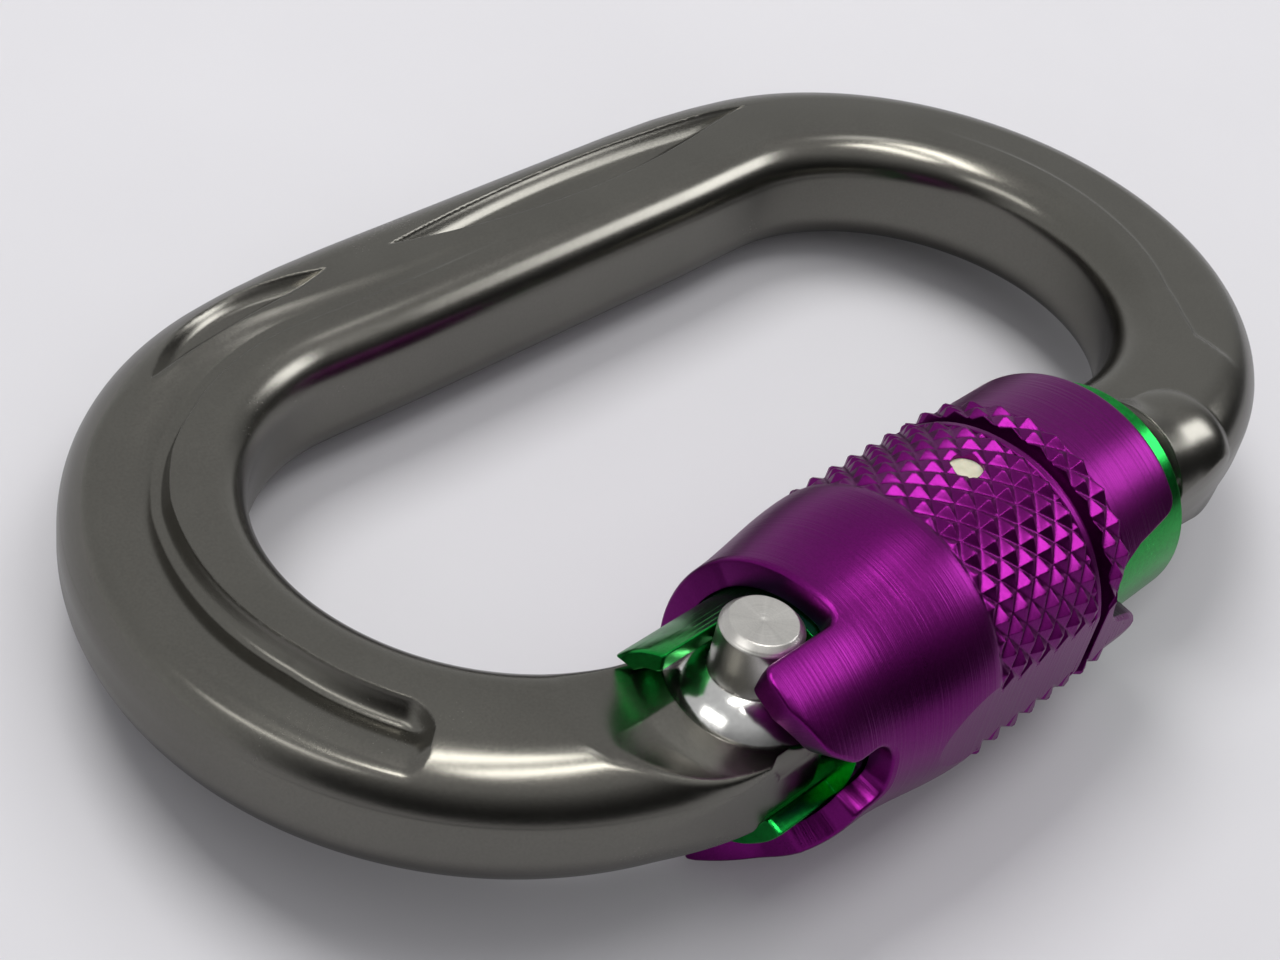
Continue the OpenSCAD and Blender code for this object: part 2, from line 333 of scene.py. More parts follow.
def recess_depth(s, r):
    """Depth below the top plane of the forged recesses at path distance s and offset r from the centreline."""
    q = RO * math.pi / 2
    # long pocket round the hinge end: a crisp inner wall, a rounded end, open towards the outer corner
    u = POCKET_END - s
    ri = lerp_table(s, *POCKET_LIP)
    rr = 2.3
    qx, qy = rr - u, ri + rr - r
    sd = rr - np.where((qx > 0) & (qy > 0), np.hypot(qx, qy), np.maximum(qx, qy))      # distance inside the walls
    sd = np.where((qx > 0) & (qy > 0), sd, np.minimum(u, r - ri))
    width = lerp_table(u, [0, 18, 26, 34, 42], [1.2, 1.1, 0.85, 0.45, 0.4])
    din = lerp_table(u, [0, 16, 30, 42, 52, 64, 80], [1.75, 1.65, 1.3, 0.8, 0.42, 0.15, 0])
    dout = lerp_table(u, [0, 14, 26, 34, 42], [1.05, 1.0, 0.8, 0.45, -0.4])
    k = np.clip((r - ri - 1.2) / 4.2, 0, 1)
    d = (din * (1 - k) + dout * k - 0.34 * np.sin(math.pi * np.clip((r - ri - 1.2) / 3.6, 0, 1)) * np.clip(din, 0, 1)) * onset(sd / width)
    d = np.maximum(d, 0) * (s > 0)
    # matching, much shallower pocket round the nose end, ending in a point
    tip = -86.1 - 2.5 * np.clip((r + 0.1) / 4.0, -0.1, 1.6)
    ri2 = lerp_table(s, *V_LIP)
    sd2 = np.minimum(r - ri2, (s - tip) * 0.85)
    d2 = lerp_table(s, [-90, -86, -78, -68, -58, -46], [0.42, 0.40, 0.42, 0.28, 0.12, 0.0])
    k2 = np.clip((r - ri2) / 6.0, 0, 1)
    d = np.maximum(d, np.where(s < -A, d2 * (1 - 0.45 * k2) * onset(sd2 / 0.8), 0))
    # scallops along the outer edge of the spine
    sd3 = lens_sd(s, r, *LENSES[0])
    sh = np.clip((r + 1.0) / 4.2, 0, 1)
    d = np.maximum(d, (1.75 - 0.5 * sh) * onset(-sd3 / 1.6))
    sd4 = lens_sd(s, r, *LENSES[1])
    d = np.maximum(d, 1.2 * onset(-sd4 / 1.2))
    return d


def build_frame():
    S, P, N = frame_path()
    q = RO * math.pi / 2
    ns = len(S)
    base = section(1, 1, 0.3, 0.3)
    nc = len(base)
    V = np.zeros((ns, nc, 3))
    for i, s in enumerate(S):
        t = abs(s)
        if t <= A:
            w = WS + (WE - WS) * float(sstep((t - A + 10) / 10))
        elif s > 0:
            w = WE + (WG - WE) * float(sstep((t - A - q * 1.1) / (q * 0.7)))
        else:
            w = WE
        ro = 4.7 - 2.7 * float(sstep((s - (A + 2 * q - 9)) / 9))
        ro = ro - 0.9 * float(sstep((A + 4 - t) / 8))
        sec = section(w, T, 3.3, ro)
        r, z = sec[:, 0].copy(), sec[:, 1].copy()
        side = np.abs(z) > T - min(3.3, ro) + 1e-6
        for lip in lips(s):
            j = int(np.argmin(np.where(side & (z > 0), np.abs(r - lip), 99)))
            if abs(lip - r[j]) < 0.2:
                r = r + (lip - r[j]) * np.exp(-((r - r[j]) / 0.35) ** 2) * side
        z = np.where(side, np.sign(z) * crown(r, w, 3.3, ro), z)
        x = P[i, 0] + N[i, 0] * r
        y = P[i, 1] + N[i, 1] * r
        dep = recess_depth(np.full(nc, s), r)
        if s > A + q:
            # scooped hinge end, blending out of the top face
            dp = np.hypot(x - PX, y - YG)
            f = 1 - sstep((dp - 8.2) / 6.6)
            dep = np.maximum(dep, (1.5 + 0.13 * np.clip(YG - y, -1.5, 6)) * f)
        lim = T - dep
        az = np.abs(z)
        soft = sstep(dep / 0.3) * np.maximum(0.55 - np.abs(az - lim), 0) ** 2 / 2.2       # rounds the far edge of a recess
        z = np.sign(z) * (np.minimum(az, lim) - soft)
        V[i, :, 0] = x
        V[i, :, 1] = y
        V[i, :, 2] = z
    ob = make("frame_forging", V.reshape(-1, 3), ring_faces(ns, nc, cap0=True, cap1=True))
    # domed, turned nose end, flush with the outer wall
    nd = 220
    v, f = [], []
    xs = [18.75, 18.78, 18.95, 19.15, 19.5] + list(np.linspace(20, 24.2, 15)) + [24.2 + 6.6 * math.sin(math.radians(a)) for a in np.linspace(2, 88, 34)]
    for x in xs:
        R = 6.7 - 0.8 * float(sstep((x - 19.4) / 4.8))
        R -= 0.35 * max(0.0, (19.15 - x) / 0.4) ** 2
        if x > 24.2:
            R *= (1 - ((x - 24.2) / 6.6) ** 3.2) ** (1 / 3.2)
        yc = YG - 1.1 * float(sstep((x - 19.2) / 5.0)) - 0.5 * float(sstep((x - 24) / 5.0))
        v += [(x, yc - R * math.sin(2 * math.pi * i / nd), R * math.cos(2 * math.pi * i / nd)) for i in range(nd)]
    dome = make("dome", v, ring_faces(len(xs), nd, cap0=True, cap1=True))
    ow = RO + WE - 0.03
    v2 = [(10, -ow)] + [(A + ow * math.sin(math.radians(a)), -ow * math.cos(math.radians(a))) for a in range(0, 41, 1)] + [(60, -24), (60, -45), (10, -45)]
    k = len(v2)
    v = [(x, y, z) for z in (-10, 10) for x, y in v2]
    f = [tuple(range(k)), tuple(reversed(range(k, 2 * k)))] + [(i, (i + 1) % k, k + (i + 1) % k, k + i) for i in range(k)]
    boolean(dome, make("cut", v, f, smooth=False))
    boolean(ob, dome, "UNION")
    # seat of the gate's ears
    for m in (1, -1):
        z = sorted((2.1 * m, 9.0 * m))
        boolean(ob, turned("cut", [(0, z[0]), (EAR + 0.16, z[0]), (EAR + 0.16, z[1]), (0, z[1])], "Z", (PX, YG), 160))
    # clearance in front of the hinge
    c, s_ = math.cos(math.radians(118)), math.sin(math.radians(118))
    poly = [(PX + 1.35, YG - 20), (PX + 1.35, YG), (PX, YG), (PX + 20 * c, YG + 20 * s_), (PX + 16, YG + 20), (PX + 16, YG - 20)]
    v = [(x, y, z) for z in (-10, 10) for x, y in poly]
    k = len(poly)
    f = [tuple(range(k)), tuple(reversed(range(k, 2 * k)))] + [(i, (i + 1) % k, k + (i + 1) % k, k + i) for i in range(k)]
    boolean(ob, make("cut", v, f, smooth=False))
    # turned neck beside the hinge
    boolean(ob, revolve("cut", [(6.32, -18), (6.32, -26.8), (6.8, -28.2), (8, -29.2), (10, -29.8), (16, -29.8), (16, -18)], "X", None, 192))
    # sweep of the gate at the nose
    cyl = turned("cut", [(0, -9), (45.62, -9), (45.62, 9), (0, 9)], "Z", (PX, YG), 900)
    keep = box("keep", (10, YG - 14, -12), (30, YG + 14, 12))
    boolean(keep, cyl, "INTERSECT")
    boolean(ob, keep)
    # tang and nose blade
    tang = turned("tang", [(0, -2.1), (4.2, -2.1), (4.4, -1.9), (4.4, 1.9), (4.2, 2.1), (0, 2.1)], "Z", (PX, YG), 128)
    boolean(tang, box("cut", (PX + 4.0, YG - 9, -4), (PX + 8, YG + 9, 4)))
    boolean(ob, tang, "UNION")
    blade = box("blade", (18.2, YG - 5.2, -1.6), (24.2, YG + 1.9, 1.6))
    cyl = turned("cut", [(0, -9), (43.5, -9), (43.5, 9), (0, 9)], "Z", (PX, YG), 900)
    boolean(blade, cyl)
    boolean(ob, blade, "UNION")
    boolean(ob, turned("cut", [(0, -9), (2.6, -9), (2.6, 9), (0, 9)], "Z", (PX, YG), 96))
    finish_mesh(ob, 38)
    return ob


# ---------------------------------------------------------------- outer sleeve: turned, knurled and milled
def gate_pt(x, phi, r):
    return np.stack([x, YG - r * np.sin(phi), r * np.cos(phi)], -1)


def build_sleeve():
    lo_x, hi_x = S0[0], S1[0]
    nphi = 28 * 24
    phi = np.arange(nphi) * 2 * math.pi / nphi
    k0, k1, g0, g1, e1 = -9.4, 2.7, 3.4, 4.6, 6.8

    def barrel(x):
        return 10.05 + 1.17 * sstep((x + 20.6) / 11.2)

    xs, kind = [], []

    def add(vals, kd):
        for v in vals:
            xs.append(float(v))
            kind.append(kd)
    add(np.arange(lo_x, k0, 0.5), "barrel")
    add([k0], "barrel")
    add(np.linspace(k0 + 0.12, k1 - 0.05, 108), "knurl")
    xs_prof = list(zip(xs, kind))
    outer = []
    for x, kd in xs_prof:
        outer.append((x, kd, None))
    for x, r in [(k1 + 0.02, 10.72), (k1 + 0.05, 10.95), (k1 + 0.14, 11.06), (g0 - 0.12, 11.06), (g0, 10.93), (g0 + 0.04, 10.1), (g0 + 0.16, 10.0),
                 (g1 - 0.16, 10.0), (g1 - 0.04, 10.1), (g1 - 0.02, 10.72)]:
        outer.append((x, "set", r))
    for x in np.linspace(g1, e1 - 0.05, 20):
        outer.append((float(x), "knurl", None))
    for x, r in [(e1, 10.72), (e1 + 0.03, 10.9), (e1 + 0.12, 10.93)] + [(float(v), 10.93) for v in np.linspace(e1 + 0.6, hi_x - 0.5, 12)]:
        outer.append((x, "set", r))
    for a in range(10, 91, 10):
        outer.append((hi_x - 0.4 + 0.4 * math.sin(math.radians(a)), "set", 10.53 + 0.4 * math.cos(math.radians(a))))
    rows = []
    for x, kd, r in outer:
        X = np.full(nphi, x)
        if kd == "barrel":
            Rr = np.full(nphi, float(barrel(x)))
            if x >= k0 - 0.01:
                Rr[:] = 11.2
        elif kd == "set":
            Rr = np.full(nphi, r)
        else:
            a = 28 * phi / (2 * math.pi) + x / 2.2
            b = 28 * phi / (2 * math.pi) - x / 2.2
            ta = 1 - np.abs(2 * (a - np.floor(a)) - 1)
            tb = 1 - np.abs(2 * (b - np.floor(b)) - 1)
            h = np.minimum(ta, tb)
            h = np.clip((h - 0.06) / 0.80, 0, 1)
            Rr = 10.95 + 0.48 * h
            edge = float(sstep((x - k0 - 0.1) / 1.0)) if x < 3 else 1.0
            Rr = (11.2 - 0.25 * float(sstep((x - k0) / 0.9))) * (1 - edge) + Rr * edge if edge < 1 else Rr
        rows.append(gate_pt(X, phi, Rr))
    bore, tail, sh = 9.15, 8.05, -14.0
    for r, x in [(bore + 0.25, hi_x), (bore, hi_x - 0.25), (bore, sh + 0.02), (bore, sh), (tail + 0.05, sh), (tail, sh - 0.05), (tail, lo_x)]:
        rows.append(gate_pt(np.full(nphi, float(x)), phi, np.full(nphi, r)))
    V = np.array(rows)
    ob = make("outer_sleeve_shell", V.reshape(-1, 3), ring_faces(len(rows), nphi, close_r=True, close_c=True))

    def prism(name, poly, r_mid, levels):
        """Prism through the wall from a closed outline of (phi degrees, x); levels = [(r, outward offset in mm)]."""
        pts = np.array(poly, float)
        m = pts * (math.radians(1) * r_mid, 1)
        t = np.roll(m, -1, 0) - np.roll(m, 1, 0)
        t /= np.maximum(np.linalg.norm(t, axis=1, keepdims=True), 1e-9)
        area = 0.5 * np.sum(m[:, 0] * np.roll(m[:, 1], -1) - np.roll(m[:, 0], -1) * m[:, 1])
        nrm = np.stack([t[:, 1], -t[:, 0]], 1) * (1 if area > 0 else -1)
        v = []
        for r, off in levels:
            o = m + nrm * off
            v.append(gate_pt(o[:, 1], o[:, 0] / r_mid, np.full(len(o), r)))
        v = np.vstack(v)
        n = len(pts)
        f = ring_faces(len(levels), n)
        f.append(tuple(range(n)))
        f.append(tuple(reversed(range((len(levels) - 1) * n, len(levels) * n))))
        return make(name, v, f, smooth=False)

    # hinge end outline, all the way round, cut as a ring
    E = S0[0] + (-20.9 - -28.3)
    fx = lo_x + 0.65
    prof = [(-115, E, 0), (-80, E + 0.5, 4), (-45, E + 1.0, 4.0), (17.5, E + 1.0, 1.0), (17.5, fx, 1.0), (36, fx + 0.1, 2.0), (59, fx + 1.9, 3.5),
            (69.5, fx + 4.3, 2.0), (69.5, E + 1.4, 2.2), (100, E + 1.4, 2.2), (101, E - 0.9, 1.0), (113, -22.4, 2.0), (130, -24.0, 2.0),
            (147, -24.8, 3.0), (168, -27.7, 2.0), (172, -28.0, 0.7), (174.5, E, 1.0), (245, E, 0)]
    rm = 9.0
    pts = np.array([(math.radians(a) * rm, x) for a, x, r in prof])
    big = [(pts[0][0], -40), *pts.tolist(), (pts[-1][0], -40)]
    rad = [0] + [p[2] for p in prof] + [0]
    fl = fillet(big, rad, 7)
    line = [p for p in fl if p[1] > -39]
    dense = [line[0]]
    for p, q_ in zip(line, line[1:]):
        n = max(1, int(np.linalg.norm(q_ - p) / 0.35))
        for i in range(1, n + 1):
            dense.append(p + (q_ - p) * i / n)
    dense = np.array(dense)[:-1]                      # last point equals the first after a full turn
    t = np.roll(dense, -1, 0) - np.roll(dense, 1, 0)
    span = math.radians(360) * rm
    t[0] = dense[1] - (dense[-1] - (span, 0))
    t[-1] = dense[0] + (span, 0) - dense[-2]
    t /= np.linalg.norm(t, axis=1, keepdims=True)
    nrm = np.stack([-t[:, 1], t[:, 0]], 1)            # towards the sleeve body (+x side)
    rings = []
    for r, off, far in [(7.4, 0, True), (7.4, 0.0, False), (8.05, 0.0, False), (9.72, 0.0, False), (9.87, 0.035, False), (9.98, 0.11, False), (10.045, 0.24, False), (10.075, 0.4, False), (10.4, 1.1, False), (10.4, 0, True)]:
        o = dense + nrm * off
        x = np.full(len(o), -36.0) if far else o[:, 1]
        rings.append(gate_pt(x, (dense[:, 0] if far else o[:, 0]) / rm, np.full(len(o), r)))
    V = np.array(rings)
    # the barrel's end edge follows the cutter's own chamfer only where the wall is 10.05 thick
    ob2 = make("cut", V.reshape(-1, 3), ring_faces(len(rings), V.shape[1], close_r=True, close_c=True), smooth=False)
    boolean(ob, ob2)
    # room for the head of the hinge pin
    boolean(ob, box("cut", (lo_x - 1, YG - 2.8, 0.5), (E, YG + 2.8, 13)))
    # milled flats
    for a in (91, 271):
        v = []
        ca, sa = math.cos(math.radians(a)), math.sin(math.radians(a))
        for x in (-19, 21):
            for w_ in (-9, 9):
                for h in (10.7, 15):
                    v.append((x, YG - (h * sa + w_ * ca), h * ca - w_ * sa))
        f = [(0, 1, 3, 2), (4, 6, 7, 5), (0, 4, 5, 1), (2, 3, 7, 6), (0, 2, 6, 4), (1, 5, 7, 3)]
        boolean(ob, make("cut", v, f, smooth=False))
    # window at the nose end, flared on the side away from the hinge pin
    r_mid = 10.2
    mm_ = math.degrees(1 / r_mid)
    base = [(40, 18, 0), (40, hi_x + 0.02, 0), (56.5, hi_x + 0.02, 1.7), (61.0, 9.2, 2.0), (66, 6.6, 2.2), (77, 5.6, 2.2), (88, 6.4, 2.2), (95, 9.4, 1.2),
            (99, 10.7, 0.6), (128, 10.9, 1.0), (136, 13.4, 1.0), (150, hi_x + 0.02, 0), (150, 18, 0)]
    fl = fillet([(a / mm_, x) for a, x, r in base], [r for a, x, r in base], 7)
    out = [(p[0] * mm_, p[1]) for p in fl]
    boolean(ob, prism("cut", out, r_mid, [(8.4, 0), (10.35, 0), (10.6, 0.08), (10.8, 0.28), (11.6, 1.0), (22, 1.0)]))
    # hole of the key plug
    kx = (K0[0] + K1[0]) / 2
    a = math.atan2(-((K0[1] + K1[1]) / 2 - YG), (K0[2] + K1[2]) / 2)
    v = []
    nn = 64
    for h in (8.6, 12.6):
        for i in range(nn):
            b = 2 * math.pi * i / nn
            px, pw = 1.25 * math.cos(b), 1.25 * math.sin(b)
            v.append((kx + px, YG - (h * math.sin(a) + pw * math.cos(a)), h * math.cos(a) - pw * math.sin(a)))
    boolean(ob, make("cut", v, ring_faces(2, nn, cap0=True, cap1=True), smooth=False))
    finish_mesh(ob, 17)
    ca, sa = math.cos(math.radians(91)), math.sin(math.radians(91))
    for p in ob.data.polygons:                       # the milled flats stay flat
        if abs(-p.normal.y * sa + p.normal.z * ca) > 0.9998:
            p.use_smooth = False
    return ob


# ---------------------------------------------------------------- materials
def nodes_of(mat):
    mat.use_nodes = True
    nt = mat.node_tree
    nt.nodes.clear()
    out = nt.nodes.new("ShaderNodeOutputMaterial")
    b = nt.nodes.new("ShaderNodeBsdfPrincipled")
    nt.links.new(b.outputs[0], out.inputs[0])
    return nt, b


def node(nt, kind, **kw):
    n = nt.nodes.new(kind)
    for k, v in kw.items():
        if k.startswith("i_"):
            n.inputs[int(k[2:])].default_value = v
        else:
            setattr(n, k, v)
    return n


def math_node(nt, op, a, b=None, c=None):
    n = nt.nodes.new("ShaderNodeMath")
    n.operation = op
    for i, v in enumerate((a, b, c)):
        if v is None:
            continue
        if isinstance(v, (int, float)):
            n.inputs[i].default_value = v
        else:
            nt.links.new(v, n.inputs[i])
    return n.outputs[0]


def ramp(nt, fac, stops):
    n = nt.nodes.new("ShaderNodeValToRGB")
    el = n.color_ramp.elements
    while len(el) < len(stops):
        el.new(0.5)
    for e, (p, c) in zip(el, stops):
        e.position = p
        e.color = (*c, 1) if len(c) == 3 else c
    nt.links.new(fac, n.inputs[0])
    return n.outputs[0]


def noise(nt, vec, scale, detail=3, rough=0.5):
    n = nt.nodes.new("ShaderNodeTexNoise")
    n.inputs["Scale"].default_value = scale
    n.inputs["Detail"].default_value = detail
    n.inputs["Roughness"].default_value = rough
    nt.links.new(vec, n.inputs["Vector"])
    return n.outputs[0]


def metal(name, color, rough, grain=0.0, grain_scale=2500, lines=0.0, line_scale=3500, radial=None, aniso=0.0,
          spread=0.12, bevel=0.0, coat=0.0, dark=0.75, tint=None, painted_spoke_sheen=0.0):
    """Metal with colour drift, roughness drift, a fine grain, optional turning lines along X or rings round an axis,
    optional painted radial streaks that stand in for a turned face's reflection, and softened edges.
    """
    mat = bpy.data.materials.new(name)
    nt, b = nodes_of(mat)
    tc = node(nt, "ShaderNodeTexCoord").outputs["Object"]
    big = noise(nt, tc, 90, 4)
    fine = noise(nt, tc, grain_scale, 2, 0.6)
    col = ramp(nt, big, [(0.3, tuple(c * (1 - spread) for c in color)), (0.7, tuple(min(1, c * (1 + spread)) for c in color))])
    speck = ramp(nt, fine, [(0.32, (dark, dark, dark)), (0.62, (1, 1, 1))])
    mix = node(nt, "ShaderNodeMix", data_type="RGBA", blend_type="MULTIPLY")
    mix.inputs[0].default_value = 1
    nt.links.new(col, mix.inputs[6])
    nt.links.new(speck, mix.inputs[7])
    nt.links.new(mix.outputs[2], b.inputs["Base Color"])
    if painted_spoke_sheen:
        # painted reflection: radial streaks multiplied into the base colour, standing in for the bow-tie highlight of
        # a turned end face
        off = node(nt, "ShaderNodeVectorMath", operation="SUBTRACT")
        nt.links.new(tc, off.inputs[0])
        off.inputs[1].default_value = (radial[0], radial[1], 0)
        flat = node(nt, "ShaderNodeVectorMath", operation="MULTIPLY")
        nt.links.new(off.outputs[0], flat.inputs[0])
        flat.inputs[1].default_value = (1, 1, 0)
        unit = node(nt, "ShaderNodeVectorMath", operation="NORMALIZE")
        nt.links.new(flat.outputs[0], unit.inputs[0])
        streak = ramp(nt, noise(nt, unit.outputs[0], 1.5, 6, 0.66), [(0.24, (1 - painted_spoke_sheen,) * 3), (0.76, (1, 1, 1))])
        m2 = node(nt, "ShaderNodeMix", data_type="RGBA", blend_type="MULTIPLY")
        m2.inputs[0].default_value = 1
        nt.links.new(mix.outputs[2], m2.inputs[6])
        nt.links.new(streak, m2.inputs[7])
        nt.links.new(m2.outputs[2], b.inputs["Base Color"])
    b.inputs["Metallic"].default_value = 1.0
    r = math_node(nt, "MULTIPLY_ADD", big, 0.16, rough - 0.08)
    r = math_node(nt, "MULTIPLY_ADD", fine, 0.08, r)
    nt.links.new(r, b.inputs["Roughness"])
    height = math_node(nt, "MULTIPLY", fine, grain)
    if lines:
        sep = node(nt, "ShaderNodeSeparateXYZ")
        nt.links.new(tc, sep.inputs[0])
        if radial is None:
            along = sep.outputs[0]
        else:
            dx = math_node(nt, "SUBTRACT", sep.outputs[0], radial[0])
            dy = math_node(nt, "SUBTRACT", sep.outputs[1], radial[1])
            along = math_node(nt, "SQRT", math_node(nt, "ADD", math_node(nt, "POWER", dx, 2.0), math_node(nt, "POWER", dy, 2.0)))
        comb = node(nt, "ShaderNodeCombineXYZ")
        nt.links.new(along, comb.inputs[0])
        ln = noise(nt, comb.outputs[0], line_scale, 3, 0.7)
        height = math_node(nt, "MULTIPLY_ADD", ln, lines, height)
    bump = node(nt, "ShaderNodeBump")
    bump.inputs["Strength"].default_value = 1.0
    bump.inputs["Distance"].default_value = 0.00002
    nt.links.new(height, bump.inputs["Height"])
    if bevel:
        bv = node(nt, "ShaderNodeBevel", samples=4)
        bv.inputs["Radius"].default_value = bevel
        nt.links.new(bv.outputs[0], bump.inputs["Normal"])
    nt.links.new(bump.outputs[0], b.inputs["Normal"])
    if aniso:
        b.inputs["Anisotropic"].default_value = aniso
        tg = node(nt, "ShaderNodeTangent", direction_type="RADIAL", axis="X")
        nt.links.new(tg.outputs[0], b.inputs["Tangent"])
    if coat:
        b.inputs["Coat Weight"].default_value = coat
        b.inputs["Coat Roughness"].default_value = 0.2
    if tint:
        b.inputs["Specular Tint"].default_value = (*tint, 1)
    return mat


MAT = {
    "frame": metal("frame_anodised", (0.208, 0.202, 0.182), 0.19, grain=0.13, grain_scale=5200, bevel=0.0002, dark=0.90, spread=0.05),
    # the pin's base colour carries painted radial streaks that stand in for the turned face's reflection
    "pin": metal("pin_steel", (0.93, 0.91, 0.87), 0.28, painted_spoke_sheen=0.26, grain=0.05, grain_scale=9000, dark=0.94, spread=0.04, lines=1.3, line_scale=4200, radial=(PX / 1000, YG / 1000), bevel=0.0001),
    "gate": metal("gate_polished", (0.90, 0.90, 0.89), 0.14, grain=0.03, bevel=0.00015, dark=0.94, spread=0.04),
    "green": metal("lock_green", (0.012, 0.40, 0.06), 0.20, grain=0.08, lines=0.25, line_scale=2600, bevel=0.00012, spread=0.08),
    "violet": metal("sleeve_violet", (0.205, 0.0105, 0.188), 0.27, grain=0.08, grain_scale=6000, lines=2.4, line_scale=2300, bevel=0.00012, spread=0.06, dark=0.85),
    "steel": metal("small_steel", (0.55, 0.55, 0.55), 0.3, grain=0.15, lines=0.3, line_scale=3000),
    "spring": metal("spring_steel", (0.46, 0.46, 0.48), 0.28, grain=0.2),
    "ring": metal("ring_steel", (0.22, 0.22, 0.24), 0.35, grain=0.2),
    "washer": metal("washer_bronze", (0.55, 0.38, 0.18), 0.32, grain=0.15, lines=0.3),
}


def plug_material():
    mat = bpy.data.materials.new("plug_cream")
    nt, b = nodes_of(mat)
    tc = node(nt, "ShaderNodeTexCoord").outputs["Object"]
    n = noise(nt, tc, 1500, 4)
    c = ramp(nt, n, [(0.3, (0.60, 0.58, 0.42)), (0.7, (0.74, 0.72, 0.56))])
    nt.links.new(c, b.inputs["Base Color"])
    b.inputs["Roughness"].default_value = 0.5
    b.inputs["Subsurface Weight"].default_value = 0.1
    b.inputs["Subsurface Scale"].default_value = 0.0005
    bump = node(nt, "ShaderNodeBump")
    bump.inputs["Distance"].default_value = 0.00003
    nt.links.new(n, bump.inputs["Height"])
    nt.links.new(bump.outputs[0], b.inputs["Normal"])
    return mat


def floor_material():
    mat = bpy.data.materials.new("floor_pale")
    nt, b = nodes_of(mat)
    tc = node(nt, "ShaderNodeTexCoord").outputs["Object"]
    n = noise(nt, tc, 30, 3)
    c = ramp(nt, n, [(0.3, (0.72, 0.71, 0.73)), (0.7, (0.74, 0.73, 0.75))])
    # painted shade: for glossy rays the floor's colour is multiplied by 0.68, so the metal reflects a darker floor,
    # standing in for the shade near the object
    glossy_shade_switch = node(nt, "ShaderNodeLightPath")
    mx = node(nt, "ShaderNodeMix", data_type="RGBA", blend_type="MULTIPLY")
    mx.inputs[7].default_value = (0.68, 0.68, 0.68, 1)
    nt.links.new(glossy_shade_switch.outputs["Is Glossy Ray"], mx.inputs[0])
    nt.links.new(c, mx.inputs[6])
    nt.links.new(mx.outputs[2], b.inputs["Base Color"])
    b.inputs["Roughness"].default_value = 0.85
    b.inputs["Specular IOR Level"].default_value = 0.2
    return mat


def paint(ob, mat):
    ob.data.materials.clear()
    ob.data.materials.append(mat)


def cad_copy(name, new):
    """A new mesh that starts as a CAD node's shape, in world place."""
    src = NODES[name]
    me = src.data.copy()
    me.transform(src.matrix_world)
    ob = bpy.data.objects.new(new, me)
    bpy.context.scene.collection.objects.link(ob)
    return ob


def build_gate():
    """The gate with polished, domed ears round the hinge pin."""
    ob = cad_copy("gate", "gate_bar")
    Rb, nr, na = 5.43, 26, 144
    for z in ((2.3, 9), (-9, -2.3)):
        boolean(ob, box("cut", (PX - 8, YG - 8, z[0]), (PX + 2.9, YG + 8, z[1])))
    for m in (1, -1):
        v = []
        for i in range(nr + 1):
            for j in range(na):
                a = 2 * math.pi * j / na
                c = math.cos(a)
                rmax = min(EAR, 2.92 / c) if c > 0.05 else EAR
                r0 = 2.3
                rmax = max(rmax, r0 + 0.05)
                t = i / nr
                r = r0 + (rmax - r0) * (1 - (1 - t) ** 1.5)
                yy = r * math.sin(a)
                zt = 5.05 - 2.55 * max(0.0, (r - 2.3) / (EAR - 2.3)) ** 1.9
                v.append((PX + r * c, YG + yy, m * max(zt, 2.35)))
        for rr in (1, 0):
            for j in range(na):
                a = 2 * math.pi * j / na
                c = math.cos(a)
                rmax = max(min(EAR, 2.92 / c) if c > 0.05 else EAR, 2.35)
                r = rmax if rr else 2.3
                v.append((PX + r * c, YG + r * math.sin(a), m * 2.25))
        cap = make("ear", v, ring_faces(nr + 3, na, close_r=True))
        boolean(ob, cap, "UNION")
    boolean(ob, turned("cut", [(0, 2.3), (HEAD + 0.05, 2.3), (HEAD + 0.05, 9), (0, 9)], "Z", (PX, YG), 128))
    boolean(ob, turned("cut", [(0, -9), (2.64, -9), (2.64, 3), (0, 3)], "Z", (PX, YG), 128))
    finish_mesh(ob, 26)
    return ob


def build_pin():
    lo, hi = P0[2], P1[2]
    prof = [(0, lo), (2.2, lo), (2.5, lo + 0.12), (2.6, lo + 0.4), (2.6, 2.4), (HEAD - 0.1, 2.4), (HEAD, 2.5), (HEAD, hi - 0.62), (HEAD - 0.05, hi - 0.54),
            (HEAD - 0.5, hi - 0.05), (HEAD - 0.57, hi), (1.2, hi - 0.015), (0.5, hi - 0.03), (0.18, hi - 0.05), (0, hi - 0.09)]
    ob = turned("pin_turned", prof, "Z", (PX, YG), 160)
    finish_mesh(ob, 20)
    return ob


def extrude_x(name, poly, x0, x1, cham=0.3):
    """Prism along X from a closed (y offset, z) outline, its x0 end slightly drawn in."""
    p = np.array(poly, float)
    c = p.mean(0)
    n = len(p)
    d = np.linalg.norm(p - c, axis=1, keepdims=True)
    u = (p - c) / d
    v = []
    for x, off in [(x0, cham), (x0 + 0.05, cham * 0.6), (x0 + 0.16, cham * 0.2), (x0 + 0.34, 0), (x1, 0)]:
        o = p - u * off
        v += [(x, YG + a, b) for a, b in o]
    f = ring_faces(5, n)
    f.append(tuple(range(n)))
    f.append(tuple(reversed(range(4 * n, 5 * n))))
    return make(name, v, f, smooth=False)


